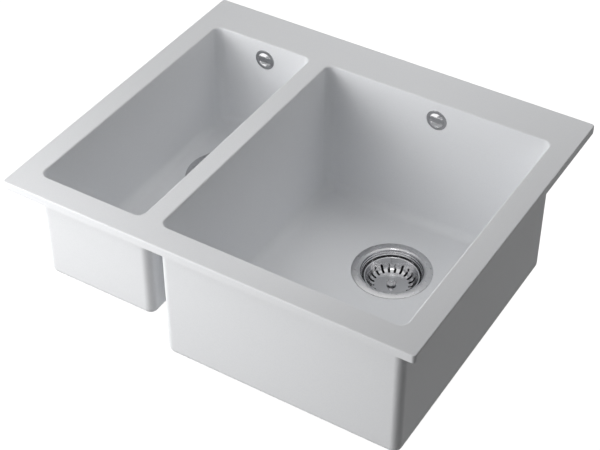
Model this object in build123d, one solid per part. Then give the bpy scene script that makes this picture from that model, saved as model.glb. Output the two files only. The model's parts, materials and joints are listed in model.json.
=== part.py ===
"""Inset one-and-a-half bowl kitchen sink with basket strainer wastes and overflows.

Millimetres. The origin is the centre of the rim's outline on the rim's underside,
which is the worktop's surface. +Z is up and -Y is the front.
"""

import math
import os

from build123d import *

# Rim of the moulding
rim_width = 600.0
rim_depth = 510.0
rim_thickness = 12.0
rim_corner_radius = 5.0
rim_edge_radius = 1.5

# Bowl openings, where the walls' planes meet the rim's top
side_margin = 33.4
front_margin = 35.8
back_ledge = 66.7
divider_width = 28.7
half_bowl_width = 160.6
lip_radius = 2.0
opening_corner_radius = 12.0

# Bowl walls and floors
main_bowl_depth = 217.0
half_bowl_depth = 163.0
wall_inset = 4.65
floor_corner_radius = 17.0
floor_radius = 14.0
floor_fall_degrees = 0.8
wall_thickness = 3.5
divider_wall_thickness = 8.5
back_wall_thickness = 6.0
floor_thickness = 6.0
outer_corner_radius = 12.0
outer_floor_radius = 12.5
root_radius = 1.0

# Drain hole and the strainer dish that lines it
drain_setback = 118.3
drain_offset = 5.9
drain_hole_radius = 46.0
flange_overlap = 11.8
flange_edge_rise = 0.4
flange_crown_rise = 1.7
flange_crown_setback = 5.3
flange_crown_radius = 26.0
flange_fall = 0.6
recess_clearance = 0.3
flange_gasket_thickness = 1.0
dish_sheet = 1.2
cup_clearance = 0.5
cup_ridge_count = 2
cup_ridge_pitch = 3.2
cup_ridge_width = 1.0
cup_ridge_bend = 1.35
cup_upper_depth = 14.5
cup_step_width = 1.4
cup_step_drop = 1.5
cup_cone_run = 10.9
shoulder_radius = 3.2
cup_bend_radius = 1.6
seat_width = 7.0
dish_hub_radius = 9.0
dish_spoke_width = 5.0
dish_spoke_count = 4

# Basket that lifts out of the dish
basket_sheet = 0.8
basket_gap = 2.4
basket_rim_depth = 9.0
basket_rim_width = 2.0
basket_rim_roll = 1.4
basket_rim_bend = 0.9
basket_depth = 16.5
basket_wall_run = 8.7
basket_floor_bend = 9.0
slot_count = 20
slot_width = 3.5
slot_wall_reach = 10.5
slot_plate_reach = 5.2

# Knob, stem and rubber plug of the basket
stem_radius = 3.0
running_clearance = 0.05
lift_gap = 0.3
knob_neck_radius = 3.6
knob_neck_height = 2.0
knob_radius = 7.0
knob_lip_height = 1.0
knob_lip_rounding = 0.4
knob_shoulder_drop = 3.7
knob_button_radius = 4.2
knob_button_height = 2.3
knob_button_rounding = 0.6
plug_lip_width = 2.8
plug_lip_setback = 3.0
plug_lip_height = 3.4
plug_crown_run = 7.0
plug_wall = 2.8
plug_washer_radius = 10.0
plug_washer_thickness = 1.0
stem_nut_flats = 10.0
stem_nut_thickness = 3.2
stem_end_length = 1.5
stem_to_screw_gap = 1.6

# Clamp screw, its insert and the waste body under the bowl
screw_radius = 3.0
screw_hole_clearance = 0.3
screw_head_radius = 7.0
screw_head_height = 2.6
screw_head_rounding = 0.8
screw_slot_width = 1.6
screw_slot_depth = 1.3
screw_end_length = 2.0
insert_wall = 2.0
insert_length = 14.0
seat_clearance = 0.05
body_gasket_thickness = 2.5
body_clearance = 1.2
body_flange_width = 10.8
body_flange_thickness = 4.0
body_wall = 3.0
body_bell_rise = 7.5
body_bend_radius = 4.0
neck_grip = 8.0
bridge_floor = 2.0
bridge_ring_width = 3.6
bridge_ring_thickness = 4.0
bridge_hub_wall = 3.0
bridge_web_thickness = 3.0
bridge_web_height = 10.0
bridge_web_count = 4
outlet_radius = 23.9
outlet_wall = 3.0
outlet_length = 27.0
outlet_step = 0.4
inlet_radius = 8.0
inlet_wall = 1.8
inlet_step = 0.4
inlet_length = 22.0
inlet_collar_width = 2.0
inlet_collar_thickness = 2.0
inlet_boss_length = 4.0
inlet_boss_gap = 1.0

# Overflow through the back wall
overflow_offset = 2.3
overflow_tube_radius = 13.0
overflow_tube_wall = 1.3
overflow_tail_length = 9.0
overflow_tail_step = 0.4
overflow_hole_clearance = 0.25
overflow_collar_width = 1.4
overflow_collar_thickness = 1.4
overflow_seal_thickness = 1.0
cover_skirt_clearance = 0.12
cover_skirt_wall = 0.85
cover_face_thickness = 1.3
cover_opening_radius = 11.0
cover_rounding = 0.3
cover_bar_height = 9.0
cover_bar_setback = 0.3
spot_clearance = 0.25
spot_depth = 2.9
overflow_washer_thickness = 1.5
overflow_nut_wall = 2.0
overflow_nut_thickness = 7.0
overflow_nut_clearance = 0.1
overflow_nut_notch_count = 12
overflow_nut_notch_radius = 0.8
nut_rim_gap = 2.7

# Rim and bowl places that follow from the sizes above
rim_left = -rim_width / 2
rim_front = -rim_depth / 2
bowl_front = rim_front + front_margin
bowl_back = rim_depth / 2 - back_ledge
half_left = rim_left + side_margin
half_right = half_left + half_bowl_width
main_left = half_right + divider_width
main_right = rim_width / 2 - side_margin
drain_y = bowl_back - drain_setback

# Radii and levels of one drain, with level 0 at the floor beside the flange
flange_radius = drain_hole_radius + flange_overlap
recess_radius = flange_radius + recess_clearance
recess_depth = dish_sheet + flange_gasket_thickness
drain_edge_radius = shoulder_radius - dish_sheet
cup_radius = drain_hole_radius - cup_clearance - dish_sheet
cup_middle_radius = cup_radius - cup_ridge_count * cup_ridge_width
cup_lower_radius = cup_middle_radius - cup_step_width
seat_radius = cup_lower_radius - cup_cone_run
dish_outlet_radius = seat_radius - seat_width
basket_rim_radius = cup_middle_radius - basket_gap
basket_wall_radius = basket_rim_radius - basket_rim_width
basket_corner_radius = basket_wall_radius - basket_wall_run
plate_top = -(basket_rim_depth + basket_depth)
plug_top = plate_top - basket_sheet - lift_gap
plug_ceiling = plug_top - plug_wall
washer_bottom = plug_ceiling - plug_washer_thickness
nut_bottom = washer_bottom - stem_nut_thickness
stem_bottom = nut_bottom - stem_end_length
screw_head_top = stem_bottom - stem_to_screw_gap
cup_floor = screw_head_top - screw_head_height
cup_bottom = cup_floor - dish_sheet
plug_bottom = cup_floor + lift_gap
plug_lip_radius = seat_radius - plug_lip_setback
insert_bottom = cup_bottom - insert_length
insert_radius = screw_radius + seat_clearance + insert_wall
bridge_hub_bore = insert_radius + seat_clearance
bridge_hub_radius = bridge_hub_bore + bridge_hub_wall
bridge_bottom = insert_bottom - bridge_floor
neck_shoulder = bridge_bottom + bridge_ring_thickness
neck_bottom = bridge_bottom - neck_grip
body_top = -floor_thickness - body_gasket_thickness
body_flange_bottom = body_top - body_flange_thickness
body_bore = drain_hole_radius + body_clearance
body_cone_top = cup_bottom + body_bell_rise
body_radius = body_bore + body_wall
outlet_bottom = neck_bottom - outlet_length
outlet_bore = outlet_radius - outlet_wall
grip_radius = outlet_radius - outlet_step
neck_bore = grip_radius + seat_clearance
inlet_boss_radius = inlet_radius + inlet_collar_width
inlet_hole_radius = inlet_radius - inlet_step + seat_clearance
inlet_boss_face = body_radius + inlet_boss_length
inlet_level = body_flange_bottom - inlet_boss_gap - inlet_boss_radius

# Radii and places of one overflow
overflow_bore = overflow_tube_radius - overflow_tube_wall
overflow_hole_radius = overflow_tube_radius + overflow_hole_clearance
overflow_collar_radius = overflow_tube_radius + overflow_collar_width
cover_skirt_bore = overflow_collar_radius + cover_skirt_clearance
cover_radius = cover_skirt_bore + cover_skirt_wall
spot_radius = cover_radius + spot_clearance
overflow_nut_radius = overflow_tube_radius + overflow_nut_wall
overflow_level = -(overflow_nut_radius + nut_rim_gap)


def bowl_place(left, right, right_wall, depth):
    """The sides, right wall's thickness, middle and floor level of a bowl."""
    middle = (left + right) / 2
    floor = rim_thickness - depth
    return {"left": left, "right": right, "right_wall": right_wall, "middle": middle, "floor": floor}


bowls = {
    "main": bowl_place(main_left, main_right, wall_thickness, main_bowl_depth),
    "half": bowl_place(half_left, half_right, divider_wall_thickness, half_bowl_depth),
}


def back_wall_at(level, floor):
    """Y of the inner face of a bowl's back wall at a level, between the rim's top and the floor."""
    share = (rim_thickness - level) / (rim_thickness - floor)
    return bowl_back - wall_inset * share


def lathe(points, radii=0.0):
    """A solid turned about Z from a closed outline of (radius, level) points."""
    outline = FilletPolyline(*[(r, 0, z) for r, z in points], radius=radii, close=True)
    return revolve(make_face(outline), Axis.Z)


def lathe_sheet(points, radii, sheet):
    """A pressed sheet turned about Z: its top face follows the points and it is thickened below them."""
    top = Wire(FilletPolyline(*[(r, z) for r, z in points], radius=radii).edges())
    outline = top.offset_2d(sheet, side=Side.LEFT, closed=True)
    section = Plane.XZ * make_face(outline.edges())
    return revolve(section, Axis.Z)


def ring(outer, inner, top, bottom):
    """A plain ring about Z."""
    return lathe([(inner, bottom), (outer, bottom), (outer, top), (inner, top)])


def bowl_section(bowl, inset, corner, level):
    """Rounded rectangle of a bowl's opening, drawn in on all sides by the inset."""
    width = bowl["right"] - bowl["left"] - 2 * inset
    depth = bowl_back - bowl_front - 2 * inset
    place = Pos(bowl["middle"], (bowl_front + bowl_back) / 2, level)
    return place * RectangleRounded(width, depth, corner)


def bowl_outside(bowl):
    """The solid block of a bowl below the rim, with rounded upright and floor edges."""
    left = bowl["left"] - wall_thickness
    right = bowl["right"] + bowl["right_wall"]
    front = bowl_front - wall_thickness
    back = bowl_back + back_wall_thickness
    place = Pos((left + right) / 2, (front + back) / 2, 0)
    outline = place * RectangleRounded(right - left, back - front, outer_corner_radius)
    block = extrude(outline, bowl["floor"] - floor_thickness)
    floor_edges = block.faces().sort_by(Axis.Z)[0].edges()
    return fillet(floor_edges, outer_floor_radius)


def bowl_inside(bowl):
    """The space inside a bowl: walls drawn in towards a floor that falls to the drain."""
    top_section = bowl_section(bowl, 0, opening_corner_radius, rim_thickness)
    floor_section = bowl_section(bowl, wall_inset, floor_corner_radius, bowl["floor"])
    space = loft([top_section, floor_section], ruled=True)
    reach = math.hypot(rim_width, rim_depth)
    rise = (reach - recess_radius) * math.tan(math.radians(floor_fall_degrees))
    slope = lathe([(recess_radius, 0), (reach, 0), (reach, rise)])
    space -= drain_place(bowl) * slope
    sloped_floor = space.faces().filter_by(GeomType.CONE).sort_by(Axis.Z)[0]
    floor_edges = sloped_floor.outer_wire().edges()
    return fillet(floor_edges, floor_radius)


def drain_place(bowl):
    """Where a bowl's drain has its axis and its level 0."""
    return Pos(bowl["middle"] + drain_offset, drain_y, bowl["floor"])


def drain_cut(bowl):
    """Flange recess and round-edged drain hole, cut from the floor of a bowl."""
    outline = [
        (0, -2 * floor_thickness),
        (drain_hole_radius, -2 * floor_thickness),
        (drain_hole_radius, -recess_depth),
        (recess_radius, -recess_depth),
        (recess_radius, floor_radius),
        (0, floor_radius),
    ]
    return drain_place(bowl) * lathe(outline, [0, 0, drain_edge_radius, 0, 0, 0])


def overflow_spot(bowl):
    """Y of the flat spot sunk in the inner face of a bowl's back wall round an overflow."""
    return back_wall_at(overflow_level + spot_radius, bowl["floor"]) + spot_depth


def overflow_place(bowl):
    """The overflow's own axes: Z along its axis into the bowl, from the flat spot on the back wall."""
    origin = (bowl["middle"] + overflow_offset, overflow_spot(bowl), overflow_level)
    return Plane(origin=origin, x_dir=(1, 0, 0), z_dir=(0, -1, 0)).location


def overflow_cut(bowl):
    """Flat spot and hole for an overflow, cut from a bowl's back wall."""
    spot = ring(spot_radius, 0, wall_inset, 0)
    hole = ring(overflow_hole_radius, 0, wall_inset, -2 * back_wall_thickness)
    return overflow_place(bowl) * (spot + hole)


def make_basin():
    """Rim, back ledge and two bowls, cast in one piece."""
    rim = extrude(RectangleRounded(rim_width, rim_depth, rim_corner_radius), rim_thickness)
    basin = rim
    for bowl in bowls.values():
        basin += bowl_outside(bowl)
    root_edges = [
        edge
        for edge in basin.edges().filter_by_position(Axis.Z, 0, 0, inclusive=(True, True))
        if abs(edge.center().X) < rim_width / 2 - side_margin / 2
        and bowl_front - front_margin / 2 < edge.center().Y < bowl_back + back_ledge / 2
    ]
    basin = fillet(root_edges, root_radius)
    for bowl in bowls.values():
        basin -= bowl_inside(bowl)
    top_face = basin.faces().filter_by(Plane.XY).sort_by(Axis.Z)[-1]
    lip_edges = [edge for wire in top_face.inner_wires() for edge in wire.edges()]
    basin = fillet(lip_edges, lip_radius)
    top_face = basin.faces().filter_by(Plane.XY).sort_by(Axis.Z)[-1]
    basin = fillet(top_face.outer_wire().edges(), rim_edge_radius)
    for bowl in bowls.values():
        basin -= drain_cut(bowl)
        basin -= overflow_cut(bowl)
    return basin


def flange_path():
    """Top of the flange in (radius, level) points, from its edge over a low crown to the cup's shoulder."""
    return [
        (flange_radius, flange_edge_rise),
        (flange_radius - flange_crown_setback, flange_crown_rise),
        (cup_radius, flange_crown_rise - flange_fall),
    ]


def ridge_path():
    """Small ledges down the cup's upper wall in (radius, level) points, each drawing the wall in."""
    points = []
    for index in range(cup_ridge_count):
        radius = cup_radius - index * cup_ridge_width
        level = -(index + 1) * cup_ridge_pitch
        points.append((radius, level))
        points.append((radius - cup_ridge_width, level - cup_ridge_width))
    return points


def make_dish():
    """Pressed flange and stepped cup, with outlets between spokes round a hub in its floor."""
    ridges = ridge_path()
    path = flange_path() + ridges + [
        (cup_middle_radius, -cup_upper_depth),
        (cup_lower_radius, -cup_upper_depth - cup_step_drop),
        (seat_radius, cup_floor),
        (screw_radius + screw_hole_clearance, cup_floor),
    ]
    bends = [flange_crown_radius, shoulder_radius] + [cup_ridge_bend] * len(ridges) + [cup_bend_radius] * 3
    dish = lathe_sheet(path, bends, dish_sheet)
    outlet = Circle(dish_outlet_radius) - Circle(dish_hub_radius)
    for index in range(dish_spoke_count):
        turn = Rot(0, 0, index * 360 / dish_spoke_count)
        outlet -= turn * Pos(dish_outlet_radius / 2, 0) * Rectangle(dish_outlet_radius, dish_spoke_width)
    return dish - Pos(0, 0, cup_bottom - dish_sheet) * extrude(outlet, 3 * dish_sheet)


def make_flange_gasket():
    """Ring that fills the space under the flange's crown."""
    outer = flange_radius - dish_sheet
    inner = drain_hole_radius + flange_overlap / 4
    blank = ring(outer, inner, flange_crown_rise, -recess_depth)
    flange = lathe_sheet(flange_path(), [flange_crown_radius], dish_sheet + seat_clearance)
    return (blank - flange).solids().sort_by(Axis.Z)[0]


def make_basket():
    """Shell with a rolled rim and a steep wall, slotted where it bends round into its flat plate."""
    path = [
        (basket_rim_radius, -basket_rim_depth - basket_rim_roll),
        (basket_rim_radius, -basket_rim_depth),
        (basket_wall_radius, -basket_rim_depth),
        (basket_corner_radius, plate_top),
        (stem_radius + running_clearance, plate_top),
    ]
    shell = lathe_sheet(path, [basket_rim_bend, basket_rim_bend, basket_floor_bend], basket_sheet)
    lean = math.atan2(basket_depth, basket_wall_run)
    slot_run = slot_plate_reach + slot_wall_reach * math.cos(lean)
    slot_rise = slot_wall_reach * math.sin(lean)
    slot_length = math.hypot(slot_run, slot_rise)
    foot = (basket_corner_radius - slot_plate_reach, 0, plate_top)
    slope = Plane(origin=foot, x_dir=(slot_run, 0, slot_rise), z_dir=(-slot_rise, 0, slot_run))
    slot = slope * Pos(slot_length / 2, 0) * SlotOverall(slot_length, slot_width)
    cutter = extrude(slot, basket_floor_bend, both=True)
    for index in range(slot_count):
        shell -= Rot(0, 0, index * 360 / slot_count) * cutter
    return shell


def make_knob():
    """Turned knob, a button on a sloped shoulder, with the stem that carries the rubber plug."""
    base = plate_top + lift_gap
    neck_top = base + knob_neck_height
    lip_top = neck_top + knob_lip_height
    shoulder_top = lip_top + knob_shoulder_drop
    top = shoulder_top + knob_button_height
    outline = [
        (0, stem_bottom),
        (stem_radius, stem_bottom),
        (stem_radius, base),
        (knob_neck_radius, base),
        (knob_neck_radius, neck_top),
        (knob_radius, neck_top),
        (knob_radius, lip_top),
        (knob_button_radius, shoulder_top),
        (knob_button_radius, top),
        (0, top),
    ]
    lip = knob_lip_rounding
    button = knob_button_rounding
    return lathe(outline, [0, 0, 0, 0, 0, lip, lip, button, button, 0])


def make_rubber_plug():
    """Bell-shaped plug whose lip closes the outlets when it is down."""
    bore = stem_radius + seat_clearance
    lip_bore = plug_lip_radius - plug_lip_width
    crown = plug_lip_radius - plug_crown_run
    lip_top = plug_bottom + plug_lip_height
    outline = [
        (bore, plug_top),
        (crown, plug_top),
        (plug_lip_radius, lip_top),
        (plug_lip_radius, plug_bottom),
        (lip_bore, plug_bottom),
        (lip_bore, lip_top),
        (crown - plug_lip_width, plug_ceiling),
        (bore, plug_ceiling),
    ]
    return lathe(outline)


def make_stem_nut():
    """Hexagon nut that holds the plug on the stem."""
    corner = stem_nut_flats / math.sqrt(3)
    outline = RegularPolygon(corner, 6) - Circle(stem_radius + seat_clearance)
    return Pos(0, 0, nut_bottom) * extrude(outline, stem_nut_thickness)


def make_clamp_screw():
    """Pan-head screw with a slot, which pulls dish and waste body together."""
    end = insert_bottom - screw_end_length
    outline = [
        (0, end),
        (screw_radius, end),
        (screw_radius, cup_floor),
        (screw_head_radius, cup_floor),
        (screw_head_radius, screw_head_top),
        (0, screw_head_top),
    ]
    screw = lathe(outline, [0, 0, 0, 0, screw_head_rounding, 0])
    slot = Box(3 * screw_head_radius, screw_slot_width, 2 * screw_slot_depth)
    return screw - Pos(0, 0, screw_head_top) * slot


def make_waste_body():
    """Moulded body under the bowl: clamping flange, bell, socket neck and a boss for the overflow's inlet."""
    outside = [
        (0, neck_bottom),
        (neck_bore + body_wall, neck_bottom),
        (neck_bore + body_wall, neck_shoulder),
        (body_radius, body_cone_top),
        (body_radius, body_flange_bottom),
        (body_bore + body_flange_width, body_flange_bottom),
        (body_bore + body_flange_width, body_top),
        (0, body_top),
    ]
    inside = [
        (0, neck_bottom),
        (neck_bore, neck_bottom),
        (neck_bore, neck_shoulder),
        (outlet_bore, neck_shoulder),
        (body_bore, body_cone_top),
        (body_bore, body_top),
        (0, body_top),
    ]
    body = lathe(outside, [0, 0, body_bend_radius, body_bend_radius, 0, 0, 0, 0])
    body += inlet_axis() * ring(inlet_boss_radius, 0, inlet_boss_face, 0)
    body -= lathe(inside, [0, 0, 0, 0, body_bend_radius, 0, 0])
    return body - inlet_axis() * ring(inlet_hole_radius, 0, inlet_boss_face, 0)


def make_screw_bridge():
    """Ring held under the neck's shoulder, with webs to a hub that takes the screw's insert."""
    ring_bore = grip_radius - bridge_ring_width
    bridge = ring(grip_radius, ring_bore, neck_shoulder, bridge_bottom)
    bridge += ring(bridge_hub_radius, 0, cup_bottom - seat_clearance, bridge_bottom)
    reach = outlet_bore - seat_clearance
    start = (Align.MIN, Align.CENTER, Align.MIN)
    web = Pos(0, 0, bridge_bottom) * Box(reach, bridge_web_thickness, bridge_web_height, align=start)
    for index in range(bridge_web_count):
        bridge += Rot(0, 0, index * 360 / bridge_web_count) * web
    return bridge - ring(bridge_hub_bore, 0, cup_bottom, bridge_bottom)


def make_outlet_tail():
    """Outlet tube: a stepped end in the body's neck and a free end for the trap."""
    outline = [
        (outlet_bore, outlet_bottom),
        (outlet_radius, outlet_bottom),
        (outlet_radius, neck_bottom),
        (grip_radius, neck_bottom),
        (grip_radius, bridge_bottom),
        (outlet_bore, bridge_bottom),
    ]
    return lathe(outline)


def inlet_axis():
    """The overflow inlet's own axes: Z along its axis out of the body, from the drain's axis."""
    return Plane(origin=(0, 0, inlet_level), x_dir=(1, 0, 0), z_dir=(0, 1, 0)).location


def make_inlet_spigot():
    """Spigot for the overflow's hose, with a collar against the body's boss."""
    collar_end = inlet_boss_face + inlet_collar_thickness
    outline = [
        (inlet_radius - inlet_wall, body_bore),
        (inlet_radius - inlet_step, body_bore),
        (inlet_radius - inlet_step, inlet_boss_face),
        (inlet_boss_radius, inlet_boss_face),
        (inlet_boss_radius, collar_end),
        (inlet_radius, collar_end),
        (inlet_radius, collar_end + inlet_length),
        (inlet_radius - inlet_wall, collar_end + inlet_length),
    ]
    return inlet_axis() * lathe(outline)


def make_overflow_tube(wall):
    """Tube through the wall with a collar inside the bowl and a stepped tail for a hose behind the nut."""
    collar_bottom = overflow_seal_thickness
    collar_top = collar_bottom + overflow_collar_thickness
    nut_back = -wall - overflow_washer_thickness - overflow_nut_thickness
    tail_end = nut_back - overflow_tail_length
    tail_radius = overflow_tube_radius - overflow_tail_step
    outline = [
        (overflow_bore, tail_end),
        (tail_radius, tail_end),
        (tail_radius, nut_back),
        (overflow_tube_radius, nut_back),
        (overflow_tube_radius, collar_bottom),
        (overflow_collar_radius, collar_bottom),
        (overflow_collar_radius, collar_top),
        (overflow_bore, collar_top),
    ]
    return lathe(outline)


def make_overflow_cover():
    """Snap-on cover: a flat ring with a bar across it and a skirt round the tube's collar."""
    collar_top = overflow_seal_thickness + overflow_collar_thickness
    face_top = collar_top + cover_face_thickness
    outline = [
        (cover_opening_radius, collar_top),
        (cover_skirt_bore, collar_top),
        (cover_skirt_bore, 0),
        (cover_radius, 0),
        (cover_radius, face_top),
        (cover_opening_radius, face_top),
    ]
    cover = lathe(outline, [0, 0, 0, 0, cover_rounding, cover_rounding])
    base = (Align.CENTER, Align.CENTER, Align.MIN)
    bar_thickness = cover_face_thickness - cover_bar_setback
    bar_reach = cover_opening_radius + cover_rounding
    bar = Box(2 * bar_reach, cover_bar_height, bar_thickness, align=base)
    bar = bar & ring(bar_reach, 0, bar_thickness, 0)
    bar_edges = bar.edges().filter_by(Axis.X).group_by(Axis.Z)[-1]
    bar = fillet(bar_edges, cover_rounding)
    return cover + Pos(0, 0, collar_top) * bar


def make_overflow_nut(wall):
    """Round nut behind the wall with grip notches round its edge."""
    front = -wall - overflow_washer_thickness
    bore = overflow_tube_radius + overflow_nut_clearance
    nut = ring(overflow_nut_radius, bore, front, front - overflow_nut_thickness)
    notch = ring(overflow_nut_notch_radius, 0, front, front - overflow_nut_thickness)
    notch = Pos(overflow_nut_radius, 0, 0) * notch
    for index in range(overflow_nut_notch_count):
        nut -= Rot(0, 0, index * 360 / overflow_nut_notch_count) * notch
    return nut


def drain_pieces():
    """Each piece of one drain about its own axis, with level 0 at the floor beside the flange."""
    gasket_radius = body_bore + body_flange_width
    washer_bore = stem_radius + seat_clearance
    insert_bore = screw_radius + seat_clearance
    return {
        "strainer_dish": make_dish(),
        "flange_gasket": make_flange_gasket(),
        "waste_body": make_waste_body(),
        "body_gasket": ring(gasket_radius, body_bore, -floor_thickness, body_top),
        "screw_bridge": make_screw_bridge(),
        "outlet_tail": make_outlet_tail(),
        "inlet_spigot": make_inlet_spigot(),
        "clamp_screw": make_clamp_screw(),
        "screw_insert": ring(insert_radius, insert_bore, cup_bottom, insert_bottom),
        "basket_shell": make_basket(),
        "basket_knob": make_knob(),
        "rubber_plug": make_rubber_plug(),
        "plug_washer": ring(plug_washer_radius, washer_bore, plug_ceiling, washer_bottom),
        "stem_nut": make_stem_nut(),
    }


def overflow_pieces(bowl):
    """Each piece of one overflow about its own axis, from the flat spot on the back wall."""
    wall = bowl_back + back_wall_thickness - overflow_spot(bowl)
    washer_bore = overflow_tube_radius + overflow_nut_clearance
    washer_front = -wall
    washer_back = washer_front - overflow_washer_thickness
    return {
        "overflow_cover": make_overflow_cover(),
        "overflow_tube": make_overflow_tube(wall),
        "overflow_seal": ring(overflow_collar_radius, overflow_hole_radius, overflow_seal_thickness, 0),
        "overflow_washer": ring(overflow_nut_radius, washer_bore, washer_front, washer_back),
        "overflow_nut": make_overflow_nut(wall),
    }


def main():
    """Place every piece and write one file for each."""
    os.makedirs("parts", exist_ok=True)
    pieces = {"sink_basin": make_basin()}
    drain = drain_pieces()
    for name, bowl in bowls.items():
        for piece, solid in drain.items():
            pieces[f"{name}_{piece}"] = drain_place(bowl) * solid
        for piece, solid in overflow_pieces(bowl).items():
            pieces[f"{name}_{piece}"] = overflow_place(bowl) * solid
    for node, solid in pieces.items():
        export_step(solid, f"parts/{node}.step")
        size = solid.bounding_box().size
        print(node, len(solid.solids()), round(solid.volume), [round(s, 2) for s in size])


main()
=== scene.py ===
import json
import math

import bpy
import numpy as np
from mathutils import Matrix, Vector


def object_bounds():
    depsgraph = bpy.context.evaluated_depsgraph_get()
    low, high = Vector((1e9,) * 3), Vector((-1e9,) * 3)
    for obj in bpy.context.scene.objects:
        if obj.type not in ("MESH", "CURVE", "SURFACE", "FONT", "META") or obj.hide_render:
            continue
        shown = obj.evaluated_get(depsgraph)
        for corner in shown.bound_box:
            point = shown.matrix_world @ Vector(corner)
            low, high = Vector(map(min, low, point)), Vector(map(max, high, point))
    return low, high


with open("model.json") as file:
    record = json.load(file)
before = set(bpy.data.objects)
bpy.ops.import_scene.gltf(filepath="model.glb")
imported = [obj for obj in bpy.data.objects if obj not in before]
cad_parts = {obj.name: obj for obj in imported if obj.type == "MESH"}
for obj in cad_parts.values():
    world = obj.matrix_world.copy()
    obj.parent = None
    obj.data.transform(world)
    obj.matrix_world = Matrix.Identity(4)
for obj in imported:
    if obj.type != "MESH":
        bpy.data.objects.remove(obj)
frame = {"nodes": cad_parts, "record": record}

scene = bpy.context.scene
nodes = frame["nodes"]
cadLow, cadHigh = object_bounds()
scene.view_settings.view_transform = "Standard"
print("frame: %d nodes" % len(nodes))

# camera of the photograph, looking down on the sink from the front right
view = {
    "place": (0.8049, -1.3224, 1.2150),
    "tiltDegrees": 49.353,
    "turnDegrees": 31.600,
    "lens": 89.616,
    "sensorWidth": 36.0,
}


def makeCamera():
    data = bpy.data.cameras.new("sinkCamera")
    data.lens = view["lens"]
    data.sensor_width = view["sensorWidth"]
    camera = bpy.data.objects.new("sinkCamera", data)
    camera.location = view["place"]
    camera.rotation_euler = (math.radians(view["tiltDegrees"]), 0.0, math.radians(view["turnDegrees"]))
    scene.collection.objects.link(camera)
    scene.camera = camera


makeCamera()
print("camera placed")


# a fresh node tree: returns a function that adds a node and sets its sockets, and one that links two sockets
def openTree(owner):
    owner.use_nodes = True
    tree = owner.node_tree
    tree.nodes.clear()

    def add(kind, values=None, **settings):
        node = tree.nodes.new(kind)
        for key, value in settings.items():
            setattr(node, key, value)
        for key, value in (values or {}).items():
            node.inputs[key].default_value = value
        return node

    def link(source, target):
        tree.links.new(source, target)

    return add, link


# a surface material: its shader, its output and the object's own coordinates
def startMaterial(name, values):
    material = bpy.data.materials.new(name)
    add, link = openTree(material)
    shader = add("ShaderNodeBsdfPrincipled", values)
    output = add("ShaderNodeOutputMaterial")
    link(shader.outputs[0], output.inputs[0])
    coords = add("ShaderNodeTexCoord")
    return material, add, link, shader, coords.outputs["Object"]


noiseRoughness = 0.55


# noise read through a ramp, from the low colour at the pattern's start to the high one at its end
def noiseRamp(add, link, vector, pattern, low, high):
    values = {"Scale": pattern["scale"], "Detail": pattern["detail"], "Roughness": noiseRoughness}
    noise = add("ShaderNodeTexNoise", values)
    link(vector, noise.inputs["Vector"])
    ramp = add("ShaderNodeValToRGB")
    first, last = ramp.color_ramp.elements
    first.position, first.color = pattern["start"], low
    last.position, last.color = pattern["end"], high
    link(noise.outputs["Fac"], ramp.inputs["Fac"])
    return noise.outputs["Fac"], ramp.outputs["Color"]


# small relief: a height in, the shader's normal out
def addBump(add, link, shader, height, strength, depth):
    bump = add("ShaderNodeBump", {"Strength": strength, "Distance": depth})
    link(height, bump.inputs["Height"])
    link(bump.outputs["Normal"], shader.inputs["Normal"])


def grey(level):
    return (level, level, level, 1.0)


# pale stone composite with a fine grain and pits
composite = {
    "pale": (0.820, 0.828, 0.842, 1.0),
    "grain": (0.796, 0.805, 0.820, 1.0),
    "grainPattern": {"scale": 900.0, "detail": 2.0, "start": 0.38, "end": 0.55},
    "smooth": 0.50,
    "dull": 0.60,
    "dullPattern": {"scale": 160.0, "detail": 3.0, "start": 0.30, "end": 0.70},
    "refraction": 1.5,
    "sheen": 0.28,
    "pitScale": 1400.0,
    "pitDetail": 2.0,
    "pitStrength": 0.12,
    "pitDepth": 0.00005,
}


def compositeMaterial():
    values = {"IOR": composite["refraction"], "Specular IOR Level": composite["sheen"]}
    material, add, link, shader, vector = startMaterial("cast_composite", values)
    _, colour = noiseRamp(add, link, vector, composite["grainPattern"], composite["grain"], composite["pale"])
    link(colour, shader.inputs["Base Color"])
    smooth, dull = grey(composite["smooth"]), grey(composite["dull"])
    _, rough = noiseRamp(add, link, vector, composite["dullPattern"], smooth, dull)
    link(rough, shader.inputs["Roughness"])
    pits = add("ShaderNodeTexNoise", {"Scale": composite["pitScale"], "Detail": composite["pitDetail"]})
    link(vector, pits.inputs["Vector"])
    addBump(add, link, shader, pits.outputs["Fac"], composite["pitStrength"], composite["pitDepth"])
    return material


metals = {
    "chrome": {"colour": (0.50, 0.50, 0.51, 1.0), "rough": (0.16, 0.24)},
    "bright_chrome": {"colour": (0.96, 0.96, 0.97, 1.0), "rough": (0.02, 0.05)},
    "plain_steel": {"colour": (0.52, 0.52, 0.53, 1.0), "rough": (0.25, 0.40)},
    "brass": {"colour": (0.72, 0.53, 0.25, 1.0), "rough": (0.22, 0.36)},
}
metalPattern = {"scale": 220.0, "detail": 4.0, "start": 0.35, "end": 0.70}


def metalMaterial(name):
    look = metals[name]
    values = {"Metallic": 1.0, "Base Color": look["colour"]}
    material, add, link, shader, vector = startMaterial(name, values)
    low, high = look["rough"]
    _, rough = noiseRamp(add, link, vector, metalPattern, grey(low), grey(high))
    link(rough, shader.inputs["Roughness"])
    return material


# steel turned on a lathe: polished in the cup, softer on the flange, with fine rings round the drain
turned = {
    "colour": (0.60, 0.60, 0.61, 1.0),
    "rough": (0.10, 0.20),
    "flangeDulls": 0.16,
    "cupRadius": 0.0455,
    "flangeRadius": 0.0500,
    "ringPitch": 0.0007,
    "ringStrength": 0.05,
    "ringDepth": 0.00002,
}


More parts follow.
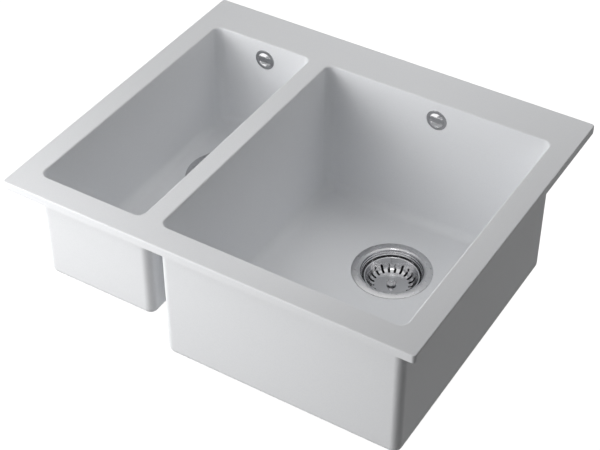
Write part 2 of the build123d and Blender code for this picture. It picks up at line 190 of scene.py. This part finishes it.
# radius = length of (x, y) from the drain's middle; roughness rises from the cup to the flange
def turnedMaterial(name, dish):
    values = {"Metallic": 1.0, "Base Color": turned["colour"]}
    material, add, link, shader, vector = startMaterial(name, values)
    box = np.array(dish.bound_box)
    middle = (box.min(0) + box.max(0)) / 2
    centred = add("ShaderNodeMapping", {"Location": (-middle[0], -middle[1], 0.0)})
    flat = add("ShaderNodeVectorMath", {1: (1.0, 1.0, 0.0)}, operation="MULTIPLY")
    radius = add("ShaderNodeVectorMath", operation="LENGTH")
    link(vector, centred.inputs["Vector"])
    link(centred.outputs[0], flat.inputs[0])
    link(flat.outputs[0], radius.inputs[0])
    low, high = turned["rough"]
    _, rough = noiseRamp(add, link, vector, metalPattern, grey(low), grey(high))
    outward = add("ShaderNodeMapRange", {"From Min": turned["cupRadius"], "From Max": turned["flangeRadius"]})
    dull = add("ShaderNodeMath", {1: turned["flangeDulls"]}, operation="MULTIPLY_ADD")
    link(radius.outputs["Value"], outward.inputs["Value"])
    link(outward.outputs[0], dull.inputs[0])
    link(rough, dull.inputs[2])
    link(dull.outputs[0], shader.inputs["Roughness"])
    phase = add("ShaderNodeMath", {1: 2 * math.pi / turned["ringPitch"]}, operation="MULTIPLY")
    wave = add("ShaderNodeMath", operation="SINE")
    link(radius.outputs["Value"], phase.inputs[0])
    link(phase.outputs[0], wave.inputs[0])
    addBump(add, link, shader, wave.outputs[0], turned["ringStrength"], turned["ringDepth"])
    return material


plastics = {
    "white_plastic": {"tint": (0.80, 0.84), "rough": (0.35, 0.50), "bumpStrength": 0.10},
    "black_rubber": {"tint": (0.018, 0.030), "rough": (0.60, 0.80), "bumpStrength": 0.25},
}
plasticTintPattern = {"scale": 90.0, "detail": 3.0, "start": 0.35, "end": 0.65}
plasticRoughPattern = {"scale": 700.0, "detail": 2.0, "start": 0.35, "end": 0.70}
plasticBumpDepth = 0.0001


def plasticMaterial(name):
    look = plastics[name]
    material, add, link, shader, vector = startMaterial(name, {})
    low, high = look["tint"]
    _, colour = noiseRamp(add, link, vector, plasticTintPattern, grey(low), grey(high))
    link(colour, shader.inputs["Base Color"])
    low, high = look["rough"]
    height, rough = noiseRamp(add, link, vector, plasticRoughPattern, grey(low), grey(high))
    link(rough, shader.inputs["Roughness"])
    addBump(add, link, shader, height, look["bumpStrength"], plasticBumpDepth)
    return material


finishes = {"composite": compositeMaterial()}
finishes.update({name: metalMaterial(name) for name in metals})
finishes.update({name: plasticMaterial(name) for name in plastics})
for bowl in ("main", "half"):
    finish = bowl + "_polished_steel"
    finishes[finish] = turnedMaterial(finish, nodes[bowl + "_strainer_dish"])

# turned steel is centred on its own drain, so each bowl has a finish of its own
slotOf = {part["node"]: part["material_slot"] for part in frame["record"]["subparts"]}
for name, node in nodes.items():
    finish = slotOf[name]
    if finish == "polished_steel":
        finish = name.split("_")[0] + "_polished_steel"
    node.data.materials.clear()
    node.data.materials.append(finishes[finish])
print("materials: %d" % len(finishes))

# white surroundings for the camera and for reflections, a plain level for everything else
studio = {
    "worldLevel": 0.012,
    "whiteLevel": 1.0,
    "floorDrop": 0.001,
    "floorReach": 6.0,
    "floorGlow": 0.96,
    "floorShadow": 0.25,
    "floorColour": 0.35,
    "bounces": 10,
    "aim": (0.0, 0.0, -0.06),
    "lamps": {
        "keyLamp": {"place": (-1.372, -1.635, 0.472), "size": 1.6, "power": 42.9},
        "nearLamp": {"place": (-0.352, -0.502, 0.454), "size": 0.5, "power": 2.0},
        "ledgeLamp": {"place": (0.0, 0.643, 0.706), "size": 0.8, "power": 2.5},
        "backLamp": {"place": (0.492, 0.413, 0.706), "size": 0.8, "power": 0.85},
        "sideLamp": {"place": (1.5, -0.35, -0.05), "size": 0.8, "power": 0.9},
        "rearLamp": {"place": (-0.2, 1.4, 0.05), "size": 0.8, "power": 12.0},
        "glintLamp": {"place": (0.35, -0.5, 1.0), "size": 0.3, "power": 1.6},
    },
    "beamSoft": 0.08,
    "beamBlend": 1.0,
    "beams": {
        "bowlBeam": {"place": (0.095, -0.5, 1.1), "aim": (0.095, 0.03, -0.2), "angle": 18.0, "power": 10.9},
        "floorBeam": {"place": (0.35, -0.5, 1.0), "aim": (0.0, 0.05, -0.205), "angle": 11.0, "power": 4.1},
        "wallBeam": {"place": (-0.1, -0.75, 0.75), "aim": (0.095, 0.17, -0.06), "angle": 16.0, "power": 1.3},
    },
    "mirrored": ("keyLamp", "glintLamp"),  # these show in shiny surfaces
    "mirroredOnly": ("glintLamp",),  # and this one lights no matt surface
}


# one where the ray comes from the camera, a mirror or clear matter
def seenDirectly(add, link):
    path = add("ShaderNodeLightPath")
    first = add("ShaderNodeMath", operation="MAXIMUM")
    second = add("ShaderNodeMath", operation="MAXIMUM")
    link(path.outputs["Is Camera Ray"], first.inputs[0])
    link(path.outputs["Is Glossy Ray"], first.inputs[1])
    link(first.outputs[0], second.inputs[0])
    link(path.outputs["Is Transmission Ray"], second.inputs[1])
    return second.outputs[0]


def makeWorld():
    world = bpy.data.worlds.new("studio")
    scene.world = world
    add, link = openTree(world)
    lit = add("ShaderNodeBackground", {"Color": grey(1.0), "Strength": studio["worldLevel"]})
    white = add("ShaderNodeBackground", {"Color": grey(1.0), "Strength": studio["whiteLevel"]})
    mix = add("ShaderNodeMixShader")
    output = add("ShaderNodeOutputWorld")
    link(seenDirectly(add, link), mix.inputs[0])
    link(lit.outputs[0], mix.inputs[1])
    link(white.outputs[0], mix.inputs[2])
    link(mix.outputs[0], output.inputs[0])


# white floor under the lowest point, with the sink's shadow left on it, and clear from below
def makeFloor():
    material = bpy.data.materials.new("studio_floor")
    add, link = openTree(material)
    bounce = add("ShaderNodeBsdfDiffuse", {"Color": grey(studio["floorColour"])})
    glow = add("ShaderNodeEmission", {"Strength": studio["floorGlow"]})
    shade = add("ShaderNodeBsdfDiffuse", {"Color": grey(studio["floorShadow"])})
    both = add("ShaderNodeAddShader")
    mix = add("ShaderNodeMixShader")
    side = add("ShaderNodeNewGeometry")
    clear = add("ShaderNodeBsdfTransparent")
    oneSided = add("ShaderNodeMixShader")
    output = add("ShaderNodeOutputMaterial")
    link(glow.outputs[0], both.inputs[0])
    link(shade.outputs[0], both.inputs[1])
    link(seenDirectly(add, link), mix.inputs[0])
    link(bounce.outputs[0], mix.inputs[1])
    link(both.outputs[0], mix.inputs[2])
    link(side.outputs["Backfacing"], oneSided.inputs[0])
    link(mix.outputs[0], oneSided.inputs[1])
    link(clear.outputs[0], oneSided.inputs[2])
    link(oneSided.outputs[0], output.inputs[0])
    level = cadLow.z - studio["floorDrop"]
    corners = np.array([(-1, -1), (1, -1), (1, 1), (-1, 1)]) * studio["floorReach"]
    mesh = bpy.data.meshes.new("floor")
    mesh.from_pydata([(x, y, level) for x, y in corners], [], [(0, 1, 2, 3)])
    mesh.materials.append(material)
    floor = bpy.data.objects.new("floor", mesh)
    scene.collection.objects.link(floor)


def placeLamp(name, data, place, aim):
    lamp = bpy.data.objects.new(name, data)
    lamp.location = place
    lamp.rotation_euler = (Vector(aim) - Vector(place)).to_track_quat("-Z", "Y").to_euler()
    lamp.visible_camera = False
    lamp.visible_diffuse = name not in studio["mirroredOnly"]
    lamp.visible_glossy = name in studio["mirrored"]
    scene.collection.objects.link(lamp)


# square soft boxes all round, and soft-edged beams down into the main bowl
def makeLamps():
    for name, box in studio["lamps"].items():
        data = bpy.data.lights.new(name, "AREA")
        data.shape = "SQUARE"
        data.size = box["size"]
        data.energy = box["power"]
        placeLamp(name, data, box["place"], studio["aim"])
    for name, beam in studio["beams"].items():
        data = bpy.data.lights.new(name, "SPOT")
        data.energy = beam["power"]
        data.spot_size = math.radians(beam["angle"])
        data.spot_blend = studio["beamBlend"]
        data.shadow_soft_size = studio["beamSoft"]
        placeLamp(name, data, beam["place"], beam["aim"])
    scene.cycles.diffuse_bounces = studio["bounces"]
    scene.cycles.glossy_bounces = studio["bounces"]


makeWorld()
makeFloor()
makeLamps()
print("studio: %d lamps and %d beams" % (len(studio["lamps"]), len(studio["beams"])))
